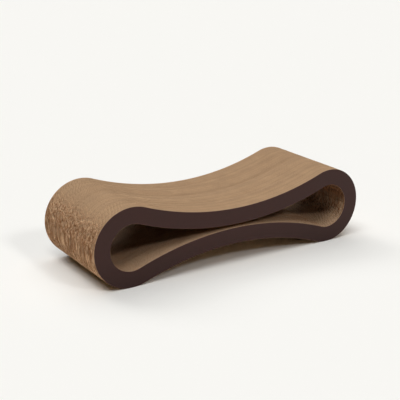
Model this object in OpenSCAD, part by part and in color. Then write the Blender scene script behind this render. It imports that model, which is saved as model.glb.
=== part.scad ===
// Lounge-shaped cardboard cat scratcher.
// A stack of upright corrugated boards is glued face to face into one block, with a
// printed cover on each outline face. Every board is one closed ring: two round ends
// joined by a top span and a bottom span that bow towards each other at the waist.
// X runs along the length, Y across the stack of boards, Z up.
// The origin is on the floor, under the middle of the block.

/* [Outline] */
// Standing height over the round ends
height = 220; // [160:1:300]
// Length over the round ends
length = 877; // [700:1:1200]
// Thickness of the band, measured square to its outline
wall = 46; // [30:1:60]
// Clear height between the two spans at the waist
waist_gap = 11; // [6:0.5:20]

/* [Stack] */
// Number of corrugated boards glued face to face
board_count = 56; // [40:1:56]
// Thickness of one corrugated board with its glue line
board_thickness = 5.2; // [3:0.1:8]
// Thickness of the printed cover on each outline face
cover_thickness = 1.2; // [0.6:0.1:3]

/* [Feet] */
// Depth to which the load has crushed the underside of each round end flat
foot_crush = 0.5; // [0.2:0.1:2]

/* [Colours] */
// Cut edges of the corrugated boards
board_colour = "#AE9478";
// Every second board, a shade darker so that the stack shows
board_shade = "#A28868";
// Printed face of the covers
cover_colour = "#3E312C";

/* [Hidden] */
// Digits after which a board's number needs no leading zero
two_digits = 10;
function board_name(i) = str("board_", i < two_digits ? "0" : "", i);
$fn = 180;

// Round ends, whose undersides the crush cuts off at the floor
end_radius = (height + foot_crush) / 2;
end_x = length / 2 - end_radius;
axis_z = end_radius - foot_crush;

// Hollow arcs of the two spans, tangent to the round ends and nearest at the waist
waist_half = wall + waist_gap / 2;
hollow_radius = (pow(waist_half, 2) + pow(end_x, 2) - pow(end_radius, 2)) / (2 * (end_radius - waist_half));
hollow_z = waist_half + hollow_radius;

// Stack of boards between the two covers
stack_width = board_count * board_thickness;

// Area inside the band's outline when it is moved inwards by inset
module outline(inset) {
    hollow = hollow_radius + inset;
    // Where the hollow arcs meet the round ends
    touch_share = hollow / (end_radius + hollow_radius);
    touch_x = end_x * touch_share;
    touch_z = hollow_z * (1 - touch_share);
    difference() {
        square([2 * touch_x, 2 * touch_z], center = true);
        for (side = [-1, 1]) translate([0, side * hollow_z]) circle(hollow);
    }
    for (side = [-1, 1]) translate([side * end_x, 0]) circle(end_radius - inset);
}

// The closed ring that every layer is cut to, standing on its two crushed feet
module ring_face() {
    difference() {
        outline(0);
        outline(wall);
        translate([-length / 2, -end_radius]) square([length, foot_crush]);
    }
}

// One layer of the block, from its near face at y to y plus its thickness
module layer(y, thickness) {
    translate([0, y + thickness, axis_z]) rotate([90, 0, 0])
        linear_extrude(height = thickness) ring_face();
}

module front_cover() {
    color(cover_colour) layer(-stack_width / 2 - cover_thickness, cover_thickness);
}

module board(i) {
    color(i % 2 == 0 ? board_colour : board_shade)
        layer(-stack_width / 2 + (i - 1) * board_thickness, board_thickness);
}

module back_cover() {
    color(cover_colour) layer(stack_width / 2, cover_thickness);
}

front_cover();
for (i = [1 : board_count]) board(i);
back_cover();
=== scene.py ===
# A lounge-shaped cat scratcher: corrugated boards glued face to face between two printed covers.
# Every length is in metres. X runs along the length, Y across the stack of boards and Z up.
import math

import bpy
import numpy as np
from mathutils import Matrix, Vector

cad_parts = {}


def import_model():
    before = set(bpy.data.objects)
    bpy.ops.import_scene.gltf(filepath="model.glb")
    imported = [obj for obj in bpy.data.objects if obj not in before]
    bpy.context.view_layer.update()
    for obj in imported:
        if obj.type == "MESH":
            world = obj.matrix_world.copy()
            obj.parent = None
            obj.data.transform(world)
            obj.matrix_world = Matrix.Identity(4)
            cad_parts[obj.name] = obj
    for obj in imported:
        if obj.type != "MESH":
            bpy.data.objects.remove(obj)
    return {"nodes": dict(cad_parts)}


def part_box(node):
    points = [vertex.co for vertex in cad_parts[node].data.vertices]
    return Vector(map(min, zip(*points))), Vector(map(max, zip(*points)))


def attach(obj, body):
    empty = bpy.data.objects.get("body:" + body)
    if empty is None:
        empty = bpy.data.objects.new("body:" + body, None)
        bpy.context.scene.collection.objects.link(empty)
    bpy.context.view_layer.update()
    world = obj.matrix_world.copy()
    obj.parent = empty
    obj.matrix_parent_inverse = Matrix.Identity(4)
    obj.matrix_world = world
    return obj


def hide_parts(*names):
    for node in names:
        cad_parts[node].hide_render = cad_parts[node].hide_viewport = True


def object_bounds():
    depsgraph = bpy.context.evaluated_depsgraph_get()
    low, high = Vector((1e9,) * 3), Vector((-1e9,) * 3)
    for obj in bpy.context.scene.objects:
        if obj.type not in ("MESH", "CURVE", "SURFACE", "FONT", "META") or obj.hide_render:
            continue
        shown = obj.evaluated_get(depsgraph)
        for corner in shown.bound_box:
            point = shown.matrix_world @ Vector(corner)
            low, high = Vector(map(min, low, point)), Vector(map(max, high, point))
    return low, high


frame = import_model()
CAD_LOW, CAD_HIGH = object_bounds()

MM = 0.001
SEED = 7

# The band's outline, as the CAD part has it: two round ends, and hollow arcs that meet them without a kink
LENGTH = CAD_HIGH.x - CAD_LOW.x
HEIGHT = 220 * MM
WALL = 46 * MM
WAIST_GAP = 11 * MM
FOOT_CRUSH = 0.5 * MM
END_RADIUS = (HEIGHT + FOOT_CRUSH) / 2
INNER_RADIUS = END_RADIUS - WALL
END_X = LENGTH / 2 - END_RADIUS
AXIS_Z = END_RADIUS - FOOT_CRUSH
WAIST_HALF = WALL + WAIST_GAP / 2
HOLLOW_RADIUS = (WAIST_HALF**2 + END_X**2 - END_RADIUS**2) / (2 * (END_RADIUS - WAIST_HALF))
HOLLOW_Z = WAIST_HALF + HOLLOW_RADIUS

# The two sides of a sheet of paper, and its four cut edges from the lowest to the top one
SIDES, EDGES = 2, 4
FRONT, BACK = range(SIDES)
LOW, UNDER, OVER, TOP = range(EDGES)
# Radius of the round end at each of the four cut edges
EDGE_RADII = np.array([END_RADIUS, INNER_RADIUS, INNER_RADIUS, END_RADIUS])
# A sheet's surface is in strips. These are the numbers at which its walls, its outer cut edges and its cut
# edges inside the pockets end
WALL_STRIPS, OUTER_STRIPS, STRIPS = 4, 6, 8

# Places along X where a sheet has points: steps on a quarter of an end, along a whole liner and on a flute
END_STEPS = 56
LINER_STEPS = 60
FLUTE_STEPS = 10
# How far the outermost place stays from the tip, and the clearance round the place where a pocket ends
TIP_GAP = 0.02 * MM
POCKET_END_CLEARANCE = 0.1 * MM
# The opening counts as closed where it is lower than this
CLOSED_HEIGHT = 1e-7

# Paper: its thickness in the middle, and at the ends, where the knife leaves it thin
LINER_MIDDLE, LINER_END = 1.15 * MM, 0.24 * MM
MEDIUM_MIDDLE, MEDIUM_END = 1.05 * MM, 0.30 * MM
GLUE_GAP = 0.03 * MM
# Shares of the end's radius where the spread edges end and the thin ones start
SPREAD_TO, THIN_FROM = 0.50, 1.0

# How far single boards, sheets and cut edges stray from the common outline
STRAY = 0.28 * MM
SHEET_STRAY = 0.12 * MM
RAGGED = 0.10 * MM
# A cut edge strays less where it is nearer than this to the block's middle height
CALM_HEIGHT = 10 * RAGGED

# Where the knife runs along the flutes, it tears the paper back from the ends: the share of the end's
# radius where that starts, the step of height at which it changes, and how far it goes
TEAR_FROM = 0.5
TEAR_STEP = 8 * MM
LINER_TEAR, MEDIUM_TEAR = 0.2 * MM, 1.1 * MM
# It also frays their edges there, so that some stretches of an edge lie broad and pale: the shares of the
# end's radius where that starts and where it is full, how broad it gets and how much single sheets differ
FRAY_FROM, FRAY_FULL = 0.45, 0.8
LINER_FRAY, MEDIUM_FRAY = 1.8 * MM, 1.2 * MM
FRAY_JITTER = 0.35
# Past the pockets, the middle of a wall moves with its frayed edges where it is nearer than this to them
FRAY_DEEP = 12 * MM
# Heights above the middle of the round ends, and how much of the fray shows there
FRAY_PLACES, FRAY_SHARES = (-45 * MM, 20 * MM, 60 * MM, 84 * MM), (0.95, 0.8, 0.75, 0)
# Heights between which the breadth of a frayed edge changes: long streaks low down, and short dots above
LONG_STREAK, SHORT_STREAK = 22 * MM, 3 * MM
STREAKS_TO = 120 * MM
FRAY_HEIGHTS = np.concatenate([
    np.arange(0, STREAKS_TO, LONG_STREAK),
    np.arange(STREAKS_TO, HEIGHT, SHORT_STREAK),
])
# The power that makes strong fray rare, and the share of boards that fray unlike the others of their batch
FRAY_POWER = 4
FRAY_ANEW = 0.6
# Depth to which the knife leaves pale fuzz on the walls below the outer cut edges
FUZZ_DEPTH = 7.0 * MM

# Flutes, and how they differ: the lean of a wave, its drift from board to board and its slow wander along X
FLUTE_PITCH = 8.8 * MM
FLUTE_LEAN = 0.35 * MM
FLUTE_CREST = 0.15 * MM
PHASE_JITTER = 0.15
PITCH_SPREAD = 0.06
WANDER = 0.7
WANDER_LENGTHS = (310 * MM, 170 * MM)
# At most so many neighbouring boards have flutes that line up
BATCH_MOST = 3

# Covers
COVER_ROUND = 0.25 * MM
WORN_WIDTH = 2.5 * MM
# A cover's outline has three times so many points on each round end, and about twice as many on each span
RING_STEPS = 26

# The sheets of a board, and shares of its bake map's height for one strip of wall and one of cut edge
SHEETS = 3
WALL_ROW_SHARE = 0.058
EDGE_ROW_SHARE = 0.016

# How much of the paler colour a point takes on: fuzz on the boards, and wear on the covers
PALE = "pale"

# Noise in the materials: how fine each one is, and how many finer layers it has
FIBRE_SCALES, FIBRE_DETAIL = (120, 900, 900), 4
GRAIN_SCALE, GRAIN_DETAIL = 900, 5
PAPER_CLOUDS, PRINT_CLOUDS, CLOUD_DETAIL = 28, 14, 3
# Share of the clouds in the tone, and the noise between which a tone goes from dark to pale
PAPER_CLOUD_SHARE, PRINT_CLOUD_SHARE = 0.45, 0.4
NOISE_RANGE = (0.3, 0.7)

# Surfaces
BUMP_DEPTH = 0.1 * MM
PAPER_BUMP, PRINT_BUMP = 0.25, 0.12
PAPER_ROUGHNESS = 0.92
PRINT_ROUGHNESS_RANGE = (0.52, 0.68)
PAPER_SPECULAR, PRINT_SPECULAR = 0.15, 0.2
# How far the tone of the paper, the cut edges, the covers' cores and the print strays
PAPER_SPREAD, EDGE_SPREAD, CORE_SPREAD, PRINT_SPREAD = 0.12, 0.10, 0.08, 0.12
# Boards differ in tone: the darkest one's level, and how much higher the palest one's is
PAPER_TONES = 5
DARKEST, TONE_RANGE = 0.95, 0.10
# Heights between which the cut edges inside the pockets go from their own colour at the floors to a painted
# shade at the ceilings
CEILING_SHADE_HEIGHTS = (AXIS_Z - WAIST_GAP / 2, AXIS_Z + 20 * MM)
# Painted shade: below this height the print gets darker, down to this share of its colour at the floor
PRINT_SHADE_BELOW, PRINT_SHADE_LEVEL = 100 * MM, 0.74
# The sum of wear and grain between which the print is rubbed off
RUBBED_RANGE = (1.1, 1.6)

# The colour sockets of a mix node, whose names its other sockets have too
MIX_FIRST, MIX_SECOND, MIX_RESULT = 6, 7, 2

# Half the floor's breadth
FLOOR_HALF = 12.0

# Lamps: name, azimuth, elevation, strength and spread, with angles in degrees. Azimuth 0 shines from the
# front, and 90 from the right
LAMPS = (
    ("top_back", 155, 70, 1.33, 60),
    ("left", -70, 62, 0.82, 25),
    ("front_right", 16, 40, 0.56, 10),
    ("back_left", -160, 42, 0.50, 25),
    ("front_left", -30, 60, 0.55, 18),
)

# The photograph's viewpoint, with angles in degrees, and the lens and sensor in millimetres
VIEW_AZIMUTH, VIEW_ELEVATION, VIEW_ROLL = -33.74, 18.22, -0.86
VIEW_DISTANCE = 2.664
VIEW_TARGET = Vector((-0.0248, 0, 0.1460))
VIEW_LENS, SENSOR_WIDTH = 84.37, 36

BOARDS = sorted(name for name in frame["nodes"] if name.startswith("board_"))


def linear(*steps):
    """The linear colour of an sRGB one given in steps of 255."""
    return tuple(((c / 255 + 0.055) / 1.055) ** 2.4 if c > 10 else c / 255 / 12.92 for c in steps)


BACKGROUND = linear(248, 247, 243)
CUT = linear(190, 157, 123)
COVER_CORE = linear(190, 160, 132)
PRINT = linear(61, 38, 34)
RUBBED = linear(104, 74, 60)
# Painted shade: the darker colour that the cut edges inside the pockets take on towards their ceilings
CEILING_SHADE = linear(84, 62, 45)
# The papers of a board, in the order of its material slots: name, colour, spread of its tone, the colour of
# the fuzz on it, and the painted shade that it takes on towards the pockets' ceilings
PAPERS = (
    ("kraft", linear(164, 112, 73), PAPER_SPREAD, CUT, None),
    ("cut_edge", linear(238, 197, 155), EDGE_SPREAD, CUT, None),
    ("cut_edge_inside", linear(209, 177, 144), EDGE_SPREAD, None, CEILING_SHADE),
    ("kraft_flutes", linear(118, 76, 46), PAPER_SPREAD, CUT, None),
)
LINER_SLOT, CUT_SLOT, INSIDE_SLOT, FLUTE_SLOT = range(4)
CORE_SLOT, PRINT_SLOT = range(2)


def half_height(x, inset):
    """Half the height of the outline at x when it is moved inwards by inset, and 0 past its ends."""
    x = np.abs(x)
    hollow = HOLLOW_RADIUS + inset
    radius = END_RADIUS - inset
    touch_x = END_X * hollow / (END_RADIUS + HOLLOW_RADIUS)
    end = np.sqrt(np.clip(radius**2 - (x - END_X) ** 2, 0, None))
    span = HOLLOW_Z - np.sqrt(np.clip(hollow**2 - x**2, 0, None))
    return np.where(x > touch_x, end, span)


def stations(step):
    """Places along X from end to end, closer where the outer or inner outline turns upright."""
    turn = np.linspace(0, math.pi / 2, END_STEPS + 1)
    outer = END_X + END_RADIUS * np.cos(turn)
    outer[0] -= TIP_GAP
    inner = END_X + INNER_RADIUS * np.cos(turn)
    between = np.arange(0, END_X + END_RADIUS - TIP_GAP, step)
    half = np.unique(np.round(np.concatenate([outer, inner, between]), 7))
    half = half[half <= outer[0]]
    # The place where the opening ends has to stay, so near neighbours of it go
    pocket_end = END_X + INNER_RADIUS
    near = (np.abs(half - pocket_end) < POCKET_END_CLEARANCE) | (np.abs(half - outer[0]) < TIP_GAP)
    half = np.unique(np.append(half[~near], [pocket_end, outer[0]]))
    return np.unique(np.concatenate([-half, half]))


def thin_share(x):
    """From 0 to 1, how far the knife ran along the flutes at each x, for each of the four cut edges."""
    round_end = (np.abs(x)[:, None] - END_X) / EDGE_RADII
    share = np.clip((round_end - SPREAD_TO) / (THIN_FROM - SPREAD_TO), 0, 1)
    return share * share * (3 - 2 * share)


def thickness(x, middle, end):
    """A sheet's thickness at its four cut edges: the knife spreads it where it cuts across the flutes."""
    return middle + (end - middle) * thin_share(x)


def tears(most, chance):
    """How far a sheet is torn back at the left and the right end, at even steps of height."""
    count = int(HEIGHT / TEAR_STEP) + 1
    return np.clip(chance.normal(0, most, (2, count)), 0, 2 * most)


def torn_back(x, z, depths):
    """The shift along X of a sheet's points at the two round ends. depths is what tears() gives."""
    steps = np.linspace(0, HEIGHT, depths.shape[1])
    left, right = (np.interp(z, steps, depth) for depth in depths)
    share = np.clip(((np.abs(x) - END_X) / END_RADIUS - TEAR_FROM) / (1 - TEAR_FROM), 0, 1)
    return np.where(x < 0, left, -right) * share


def frays(batch, chance):
    """How broad a sheet's edge lies at the left and the right end, from 0 to 1, at each of FRAY_HEIGHTS."""
    return np.clip(batch["fray"] + chance.normal(0, FRAY_JITTER, batch["fray"].shape), 0, 1)


def frayed(x, z, breadths):
    """How broad the four cut edges lie at the two round ends, from 0 to 1.

    x and z have a column for each edge, and breadths is what frays() gives.
    """
    left, right = (np.interp(z, FRAY_HEIGHTS, breadth) for breadth in breadths)
    share = np.clip(((np.abs(x) - END_X) / EDGE_RADII - FRAY_FROM) / (FRAY_FULL - FRAY_FROM), 0, 1)
    share = share * np.interp(z - AXIS_Z, FRAY_PLACES, FRAY_SHARES)
    return np.where(x < 0, left, right) * share


def sheet_points(x, sides, shift, chance, tear, batch, widths):
    """The corners of one sheet of paper cut to the band.

    x holds the places along the length, and sides the (x, y) of the front and the back there, for each
    of the four cut edges. shift holds how far the sheet strays along X and Z, and tear about how far it
    is torn back. widths holds how far the front and the back of a frayed edge move out.
    Returns the corners by place, side and edge, how pale each is, and where the opening is closed.
    """
    shift_x, shift_z = shift
    ragged = chance.normal(0, RAGGED, (len(x), EDGES)).clip(-2 * RAGGED, 2 * RAGGED)
    depths = tears(tear, chance)
    breadths = frays(batch, chance)
    outer = half_height(x - shift_x, 0)
    inner = half_height(x - shift_x, WALL)
    closed = inner < CLOSED_HEIGHT
    mid_z = AXIS_Z + shift_z
    heights = np.stack([mid_z - outer, mid_z - inner, mid_z + inner, mid_z + outer], 1)
    # The edges run smooth where two of them meet at a tip
    calm = np.clip(np.stack([outer, inner, inner, outer], 1) / CALM_HEIGHT, 0, 1)
    heights = np.clip(heights + ragged * calm, 0, None)
    near_tip = np.clip(1 - outer[closed, None] / FRAY_DEEP, 0, 1)
    corners = np.zeros((len(x), SIDES, EDGES, 3))
    for side, (path, width) in enumerate(zip(sides, widths)):
        fray = width * frayed(path[..., 0], heights, breadths)
        fray[closed, UNDER:TOP] *= near_tip
        corners[:, side, :, :2] = path
        corners[:, side, :, 1] += fray
        corners[:, side, :, 2] = heights
    corners[..., 0] += torn_back(corners[..., 0], corners[..., 2], depths)
    # The fuzz goes from the outer edges into the walls, so it is long gone at the inner edges
    spread = 1 - thin_share(x)[:, :1]
    deep = np.stack([0 * outer, outer - inner, outer - inner, 0 * outer], 1)
    pale = np.repeat((spread - deep / FUZZ_DEPTH)[:, None], SIDES, axis=1)
    return corners, pale, closed


def sheet_faces(closed):
    """The faces between a sheet's corners, and the strip of each.

    Where the opening is closed, the cut edges over and under it are one.
    """
    index = np.arange(len(closed) * SIDES * EDGES).reshape(len(closed), SIDES, EDGES)
    index[closed, :, OVER] = index[closed, :, UNDER]
    a, b = index[:-1], index[1:]
    open_here = ~(closed[:-1] & closed[1:])
    c, d = a[open_here], b[open_here]
    strips = [
        [a[:, FRONT, LOW], b[:, FRONT, LOW], b[:, FRONT, UNDER], a[:, FRONT, UNDER]],
        [a[:, FRONT, OVER], b[:, FRONT, OVER], b[:, FRONT, TOP], a[:, FRONT, TOP]],
        [a[:, BACK, LOW], a[:, BACK, UNDER], b[:, BACK, UNDER], b[:, BACK, LOW]],
        [a[:, BACK, OVER], a[:, BACK, TOP], b[:, BACK, TOP], b[:, BACK, OVER]],
        [a[:, FRONT, LOW], a[:, BACK, LOW], b[:, BACK, LOW], b[:, FRONT, LOW]],
        [a[:, FRONT, TOP], b[:, FRONT, TOP], b[:, BACK, TOP], a[:, BACK, TOP]],
        [c[:, FRONT, UNDER], d[:, FRONT, UNDER], d[:, BACK, UNDER], c[:, BACK, UNDER]],
        [c[:, FRONT, OVER], c[:, BACK, OVER], d[:, BACK, OVER], d[:, FRONT, OVER]],
    ]
    faces = [np.stack(strip, 1) for strip in strips]
    numbers = [np.full(len(strip), number) for number, strip in enumerate(faces)]
    # The tips are closed by two faces each, which continue the outer cut edges
    first, last = index[0], index[-1]
    low_strip, top_strip = WALL_STRIPS, WALL_STRIPS + 1
    faces.append(np.array([
        [first[FRONT, LOW], first[FRONT, UNDER], first[BACK, UNDER], first[BACK, LOW]],
        [first[FRONT, OVER], first[FRONT, TOP], first[BACK, TOP], first[BACK, OVER]],
        [last[FRONT, LOW], last[BACK, LOW], last[BACK, UNDER], last[FRONT, UNDER]],
        [last[FRONT, OVER], last[BACK, OVER], last[BACK, TOP], last[FRONT, TOP]],
    ]))
    numbers.append(np.array([low_strip, top_strip, low_strip, top_strip]))
    return np.concatenate(faces), np.concatenate(numbers)


def strip_borders(faces, strips):
    """Whether each corner of each face lies at its strip's first or second border, as 0 or 1.

    The strips of wall run from a lower to a higher cut edge, and those of cut edge from front to back.
    """
    side, edge = faces // EDGES % SIDES, faces % EDGES
    strip = strips[:, None]
    wall_border = np.where(strip % 2 == 0, edge == UNDER, edge == TOP)
    return np.where(strip < WALL_STRIPS, wall_border, side)


def flat_paths(x, y_face, inwards):
    """The two sides of a liner. y_face is its glued side, and inwards is 1 or -1."""
    y_inner = y_face + inwards * thickness(x, LINER_MIDDLE, LINER_END)
    along = np.repeat(x[:, None], EDGES, axis=1)
    sides = [np.stack([along, np.full_like(along, y_face)], 2), np.stack([along, y_inner], 2)]
    return sides if inwards > 0 else sides[::-1]


def new_batch(chance):
    """The flutes of a few boards that line up, and the fray of their edges."""
    return {
        "boards_left": int(chance.integers(1, BATCH_MOST + 1)),
        "phase": chance.uniform(0, 2 * math.pi),
        "lean": chance.uniform(-FLUTE_LEAN, FLUTE_LEAN),
        "fray": chance.random((2, len(FRAY_HEIGHTS))) ** FRAY_POWER,
    }


def flute_turn(x, batch, chance):
    """The flutes' angle at each x. A batch lines up at the left end, and its boards drift apart from it."""
    pitch = FLUTE_PITCH * (1 + chance.uniform(-PITCH_SPREAD, PITCH_SPREAD))
    from_left = x + LENGTH / 2
    turn = 2 * math.pi * from_left / pitch + batch["phase"] + chance.normal(0, PHASE_JITTER)
    for length in WANDER_LENGTHS:
        start = chance.uniform(0, 2 * math.pi)
        turn = turn + WANDER * (np.sin(2 * math.pi * from_left / length + start) - math.sin(start))
    return turn


def wave_paths(x, y_mid, swing, turn, lean):
    """The two sides of the fluted sheet between two liners."""
    half = thickness(x, MEDIUM_MIDDLE, MEDIUM_END) / 2
    x, turn = x[:, None], turn[:, None]
    rate = 2 * math.pi / FLUTE_PITCH
    along = x + lean * np.sin(turn) - FLUTE_CREST * np.sin(2 * turn)
    across = y_mid + swing * np.sin(turn)
    slope_x = 1 + rate * (lean * np.cos(turn) - 2 * FLUTE_CREST * np.cos(2 * turn))
    slope_y = rate * swing * np.cos(turn)
    size = np.hypot(slope_x, slope_y)
    nx, ny = -slope_y / size, slope_x / size
    limit = LENGTH / 2
    sides = []
    for sign in (-1, 1):
        path = np.stack([along + sign * nx * half, across + sign * ny * half], 2)
        path[..., 0] = np.clip(path[..., 0], -limit, limit)
        sides.append(path)
    return sides


def mesh_object(name, vertices, faces, slots, materials, uvs=None, pale=None):
    """A mesh object from arrays, with a material slot number for each face."""
    mesh = bpy.data.meshes.new(name)
    mesh.from_pydata(vertices.tolist(), [], faces.tolist())
    mesh.polygons.foreach_set("material_index", np.asarray(slots, np.int32))
    for material in materials:
        mesh.materials.append(material)
    if uvs is not None:
        layer = mesh.uv_layers.new(name="OFBake")
        layer.uv.foreach_set("vector", np.asarray(uvs, np.float32).ravel())
    if pale is not None:
        layer = mesh.attributes.new(PALE, "FLOAT", "POINT")
        layer.data.foreach_set("value", np.asarray(pale, np.float32))
    mesh.update()
    piece = bpy.data.objects.new(name, mesh)
    bpy.context.scene.collection.objects.link(piece)
    return piece


def bake_rows():
    """The low and high border of each strip's row on a board's bake map, for each of its sheets."""
    shares = [WALL_ROW_SHARE if strip < WALL_STRIPS else EDGE_ROW_SHARE for strip in range(STRIPS)] * SHEETS
    gap = (1 - sum(shares)) / len(shares)
    lows = np.cumsum([0] + [share + gap for share in shares[:-1]]) + gap / 2
    return np.stack([lows, lows + shares], 1).reshape(SHEETS, STRIPS, 2)


def board(name, materials, chance, batch):
    """One corrugated board: a fluted sheet between two liners, cut to the closed band."""
    low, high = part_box(name)
    y0, y1 = low.y + GLUE_GAP, high.y - GLUE_GAP
    board_shift = chance.uniform(-STRAY, STRAY, 2)
    coarse = stations(LENGTH / LINER_STEPS)
    fine = stations(FLUTE_PITCH / FLUTE_STEPS)
    turn = flute_turn(fine, batch, chance)
    liner = thickness(fine, LINER_MIDDLE, LINER_END)
    swing = (y1 - y0) / 2 - liner - thickness(fine, MEDIUM_MIDDLE, MEDIUM_END) / 2
    flutes = wave_paths(fine, (y0 + y1) / 2, swing, turn, batch["lean"])
    half_fray = MEDIUM_FRAY / 2
    # Places along X, the two sides, the tear, how far these move out where frayed, and the walls' slot
    plans = [
        (coarse, flat_paths(coarse, y0, 1), LINER_TEAR, (0, LINER_FRAY), LINER_SLOT),
        (fine, flutes, MEDIUM_TEAR, (-half_fray, half_fray), FLUTE_SLOT),
        (coarse, flat_paths(coarse, y1, -1), LINER_TEAR, (-LINER_FRAY, 0), LINER_SLOT),
    ]
    offset, vertices, pale, faces, slots, uvs = 0, [], [], [], [], []
    for rows, (x, paths, tear, widths, wall_slot) in zip(bake_rows(), plans):
        shift = board_shift + chance.uniform(-SHEET_STRAY, SHEET_STRAY, 2)
        moved = [path + (shift[0], 0) for path in paths]
        corners, paleness, closed = sheet_points(x + shift[0], moved, shift, chance, tear, batch, widths)
        quads, strips = sheet_faces(closed)
        border = strip_borders(quads, strips)
        used, quads = np.unique(quads, return_inverse=True)
        points = corners.reshape(-1, 3)[used]
        quads = quads.reshape(-1, 4)
        outside = strips < OUTER_STRIPS
        slots.append(np.select([strips < WALL_STRIPS, outside], [wall_slot, CUT_SLOT], INSIDE_SLOT))
        row = rows[strips]
        u = points[quads, 0] / LENGTH + 0.5
        v = row[:, :1] + border * (row[:, 1:] - row[:, :1])
        uvs.append(np.stack([np.clip(u, 0, 1), v], 2))
        vertices.append(points)
        pale.append(paleness.reshape(-1)[used])
        faces.append(quads + offset)
        offset += len(points)
    vertices, faces, slots, uvs, pale = map(np.concatenate, (vertices, faces, slots, uvs, pale))
    piece = mesh_object(name + "_paper", vertices, faces, slots, materials, uvs, pale)
    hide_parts(name)
    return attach(piece, "root")


def ring(inset):
    """Points round the outline moved inwards by inset, with the underside flat on the floor."""
    hollow = HOLLOW_RADIUS + inset
    radius = END_RADIUS - inset
    bend = math.atan2(HOLLOW_Z, END_X)
    ends = np.linspace(bend - math.pi, math.pi - bend, RING_STEPS * 3)
    spans = np.linspace(bend - math.pi, -bend, RING_STEPS * 2)[1:-1]
    right = np.stack([END_X + radius * np.cos(ends), radius * np.sin(ends)], 1)
    left = -right
    top = np.stack([hollow * np.cos(spans), HOLLOW_Z + hollow * np.sin(spans)], 1)[::-1]
    bottom = -top
    points = np.concatenate([right, top, left, bottom])
    points[:, 1] = np.clip(points[:, 1] + AXIS_Z, 0, None)
    return points


def cover(name, materials, outward):
    """A printed cover: a thin ring plate with softly rounded cut edges, worn along its rims."""
    low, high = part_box(name)
    y_face, y_back = (low.y, high.y) if outward < 0 else (high.y, low.y)
    # Halfway round, a rounded edge lies this far from the face and from the rim
    step = COVER_ROUND * (1 - math.sqrt(0.5))
    deep = COVER_ROUND * outward
    # Inset, place across, wear and the material slot of the strip from there to the next row
    section = [
        (WORN_WIDTH, y_face, 0, PRINT_SLOT),
        (COVER_ROUND, y_face, 1, PRINT_SLOT),
        (step, y_face - step * outward, 1, PRINT_SLOT),
        (0, y_face - deep, 1, CORE_SLOT),
        (0, y_back, 1, CORE_SLOT),
        (WALL, y_back, 1, CORE_SLOT),
        (WALL, y_face - deep, 1, PRINT_SLOT),
        (WALL - step, y_face - step * outward, 1, PRINT_SLOT),
        (WALL - COVER_ROUND, y_face, 1, PRINT_SLOT),
        (WALL - WORN_WIDTH, y_face, 0, PRINT_SLOT),
    ]
    rings = [np.insert(ring(inset), 1, y, axis=1) for inset, y, _, _ in section]
    count = len(rings[0])
    worn = np.repeat([wear for _, _, wear, _ in section], count)
    faces, slots = [], []
    for i, (_, _, _, slot) in enumerate(section):
        j = (i + 1) % len(section)
        for k in range(count):
            n = (k + 1) % count
            quad = [i * count + k, j * count + k, j * count + n, i * count + n]
            faces.append(quad if outward < 0 else quad[::-1])
            slots.append(slot)
    vertices, faces = np.concatenate(rings), np.array(faces)
    piece = mesh_object(name + "_print", vertices, faces, slots, materials, pale=worn)
    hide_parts(name)
    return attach(piece, "root")


def feed(tree, node, inputs):
    """Gives each named input socket its value, or links it where that is an output socket."""
    for socket, value in inputs.items():
        if isinstance(value, bpy.types.NodeSocket):
            tree.links.new(value, node.inputs[socket])
        else:
            node.inputs[socket].default_value = value


def add_node(tree, kind, inputs):
    """A new shader node of a kind, with its inputs fed."""
    node = tree.nodes.new("ShaderNode" + kind)
    feed(tree, node, inputs)
    return node


def noise(tree, place, scale, detail):
    """Cloudy noise from 0 to 1."""
    return add_node(tree, "TexNoise", {"Vector": place, "Scale": scale, "Detail": detail}).outputs["Fac"]


def mixed(tree, first, second, share):
    """A number between two others, the second's share being given."""
    return add_node(tree, "Mix", {"Factor": share, "A": first, "B": second}).outputs["Result"]


def blended(tree, first, second, share):
    """A colour between two others, the second's share being given."""
    node = tree.nodes.new("ShaderNodeMix")
    node.data_type = "RGBA"
    feed(tree, node, {"Factor": share, MIX_FIRST: first, MIX_SECOND: second})
    return node.outputs[MIX_RESULT]


def computed(tree, operation, first, second):
    """The result of a calculation with two numbers."""
    node = tree.nodes.new("ShaderNodeMath")
    node.operation = operation
    feed(tree, node, {0: first, 1: second})
    return node.outputs["Value"]


def ranged(tree, value, across, to):
    """A number that runs through the range to while value runs through the range across."""
    inputs = {"From Min": across[0], "From Max": across[1], "To Min": to[0], "To Max": to[1]}
    return add_node(tree, "MapRange", {"Value": value, **inputs}).outputs["Result"]


def by_height(tree, place, heights, to):
    """A number that runs through the range to between two heights."""
    split = add_node(tree, "SeparateXYZ", {"Vector": place})
    return ranged(tree, split.outputs["Z"], heights, to)


def pale_share(tree):
    """How much of the paler colour the surface takes on."""
    node = tree.nodes.new("ShaderNodeAttribute")
    node.attribute_name = PALE
    return node.outputs["Fac"]


def toned(tree, grain, colour, spread, level=1):
    """A colour at a level, whose tone goes from darker to paler with the grain."""
    node = add_node(tree, "ValToRGB", {"Fac": grain})
    low, high = node.color_ramp.elements
    low.position, high.position = NOISE_RANGE
    low.color = (*(c * level * (1 - spread) for c in colour), 1)
    high.color = (*(c * level * (1 + spread) for c in colour), 1)
    return node.outputs["Color"]


def bumped(tree, height, strength):
    """The surface's normal with a fine relief."""
    inputs = {"Strength": strength, "Distance": BUMP_DEPTH, "Height": height}
    return add_node(tree, "Bump", inputs).outputs["Normal"]


def new_material(name):
    """A material, its node tree and its Principled shader."""
    material = bpy.data.materials.new(name)
    material.use_nodes = True
    tree = material.node_tree
    tree.nodes.clear()
    shader = add_node(tree, "BsdfPrincipled", {})
    add_node(tree, "OutputMaterial", {"Surface": shader.outputs["BSDF"]})
    return material, tree, shader


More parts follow.
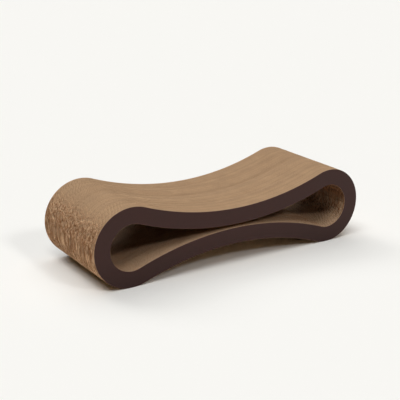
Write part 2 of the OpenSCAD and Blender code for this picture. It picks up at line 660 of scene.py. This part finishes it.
def paper(name, colour, spread, fuzz=None, ceiling_shade=None, level=1):
    """Kraft paper: cloudy tone and long fibres along X.

    It takes on the fuzz colour as far as its points are pale, or a painted shade towards the pockets'
    ceilings.
    """
    material, tree, shader = new_material(name)
    place = add_node(tree, "TexCoord", {}).outputs["Object"]
    stretched = add_node(tree, "Mapping", {"Vector": place, "Scale": FIBRE_SCALES}).outputs["Vector"]
    fibres = noise(tree, stretched, 1, FIBRE_DETAIL)
    clouds = noise(tree, place, PAPER_CLOUDS, CLOUD_DETAIL)
    grain = mixed(tree, fibres, clouds, PAPER_CLOUD_SHARE)
    base = toned(tree, grain, colour, spread, level)
    if fuzz:
        base = blended(tree, base, toned(tree, grain, fuzz, spread, level), pale_share(tree))
    # Painted shade: the colour darkens by height towards the pockets' ceilings
    if ceiling_shade:
        share = by_height(tree, place, CEILING_SHADE_HEIGHTS, (0, 1))
        base = blended(tree, base, toned(tree, grain, ceiling_shade, spread, level), share)
    feed(tree, shader, {
        "Base Color": base,
        "Roughness": PAPER_ROUGHNESS,
        "Specular IOR Level": PAPER_SPECULAR,
        "Normal": bumped(tree, fibres, PAPER_BUMP),
    })
    return material


def printed(name, colour, rubbed):
    """Matte print on smooth paperboard, with painted shade low down, and rubbed where it is worn."""
    material, tree, shader = new_material(name)
    place = add_node(tree, "TexCoord", {}).outputs["Object"]
    fine = noise(tree, place, GRAIN_SCALE, GRAIN_DETAIL)
    clouds = noise(tree, place, PRINT_CLOUDS, CLOUD_DETAIL)
    grain = mixed(tree, fine, clouds, PRINT_CLOUD_SHARE)
    # Painted shade: the print darkens by height towards the floor
    low_shade = tree.nodes.new("ShaderNodeVectorMath")
    low_shade.operation = "SCALE"
    feed(tree, low_shade, {
        "Vector": toned(tree, grain, colour, PRINT_SPREAD),
        "Scale": by_height(tree, place, (0, PRINT_SHADE_BELOW), (PRINT_SHADE_LEVEL, 1)),
    })
    wear = ranged(tree, computed(tree, "ADD", pale_share(tree), grain), RUBBED_RANGE, (0, 1))
    feed(tree, shader, {
        "Base Color": blended(tree, low_shade.outputs["Vector"], (*rubbed, 1), wear),
        "Roughness": ranged(tree, grain, NOISE_RANGE, PRINT_ROUGHNESS_RANGE),
        "Specular IOR Level": PRINT_SPECULAR,
        "Normal": bumped(tree, fine, PRINT_BUMP),
    })
    return material


def floor():
    """A wide plain floor in the background's colour."""
    material, tree, shader = new_material("floor_paint")
    feed(tree, shader, {"Base Color": (*BACKGROUND, 1), "Roughness": 1.0, "Specular IOR Level": 0.0})
    corners = FLOOR_HALF * np.array([(-1, -1, 0), (1, -1, 0), (1, 1, 0), (-1, 1, 0)])
    mesh_object("floor", corners, np.array([(0, 1, 2, 3)]), [0], [material])


def world():
    """No light of its own, but the background's colour where the camera looks past the floor."""
    surroundings = bpy.data.worlds.new("studio")
    surroundings.use_nodes = True
    tree = surroundings.node_tree
    tree.nodes.clear()
    unlit = add_node(tree, "Background", {"Strength": 0})
    seen = add_node(tree, "Background", {"Color": (*BACKGROUND, 1)})
    path = add_node(tree, "LightPath", {}).outputs
    straight = computed(tree, "MAXIMUM", path["Is Camera Ray"], path["Is Transmission Ray"])
    share = computed(tree, "MAXIMUM", straight, path["Is Glossy Ray"])
    inputs = {"Fac": share, 1: unlit.outputs["Background"], 2: seen.outputs["Background"]}
    mix = add_node(tree, "MixShader", inputs)
    add_node(tree, "OutputWorld", {"Surface": mix.outputs["Shader"]})
    bpy.context.scene.world = surroundings


def direction(azimuth, elevation):
    """The direction from the object to a lamp or the camera. Azimuth 0 is the front, and 90 the right."""
    a, e = math.radians(azimuth), math.radians(elevation)
    return Vector((math.sin(a) * math.cos(e), -math.cos(a) * math.cos(e), math.sin(e)))


def sun(name, azimuth, elevation, strength, spread):
    """A soft lamp from far away."""
    lamp = bpy.data.lights.new(name, "SUN")
    lamp.energy = strength
    lamp.angle = math.radians(spread)
    holder = bpy.data.objects.new(name, lamp)
    holder.rotation_mode = "QUATERNION"
    holder.rotation_quaternion = direction(azimuth, elevation).to_track_quat("Z", "Y")
    bpy.context.scene.collection.objects.link(holder)


def camera():
    """The camera at the photograph's angle."""
    data = bpy.data.cameras.new("camera")
    data.lens = VIEW_LENS
    data.sensor_width = SENSOR_WIDTH
    holder = bpy.data.objects.new("camera", data)
    back = direction(VIEW_AZIMUTH, VIEW_ELEVATION)
    turn = (-back).to_track_quat("-Z", "Y").to_matrix()
    roll = Matrix.Rotation(math.radians(-VIEW_ROLL), 3, "Z")
    holder.matrix_world = Matrix.Translation(VIEW_TARGET + back * VIEW_DISTANCE) @ (turn @ roll).to_4x4()
    bpy.context.scene.collection.objects.link(holder)
    bpy.context.scene.camera = holder


def board_papers(number):
    """The materials of a board in one of the tones."""
    level = DARKEST + TONE_RANGE * number / (PAPER_TONES - 1)
    return [paper(f"{name}_{number + 1}", *colours, level) for name, *colours in PAPERS]


def build():
    """All boards and both covers."""
    chance = np.random.default_rng(SEED)
    tones = [board_papers(number) for number in range(PAPER_TONES)]
    batch = {"boards_left": 0}
    for name in BOARDS:
        if batch["boards_left"] == 0:
            batch = new_batch(chance)
        elif chance.random() < FRAY_ANEW:
            # Only the fray of this batch is used
            batch["fray"] = new_batch(chance)["fray"]
        board(name, tones[chance.integers(PAPER_TONES)], chance, batch)
        batch["boards_left"] -= 1
    core = paper("cover_core", COVER_CORE, CORE_SPREAD)
    face = printed("cover_print", PRINT, RUBBED)
    cover("front_cover", (core, face), -1)
    cover("back_cover", (core, face), 1)


bpy.context.scene.view_settings.view_transform = "Standard"
camera()
floor()
world()
for lamp in LAMPS:
    sun(*lamp)
build()
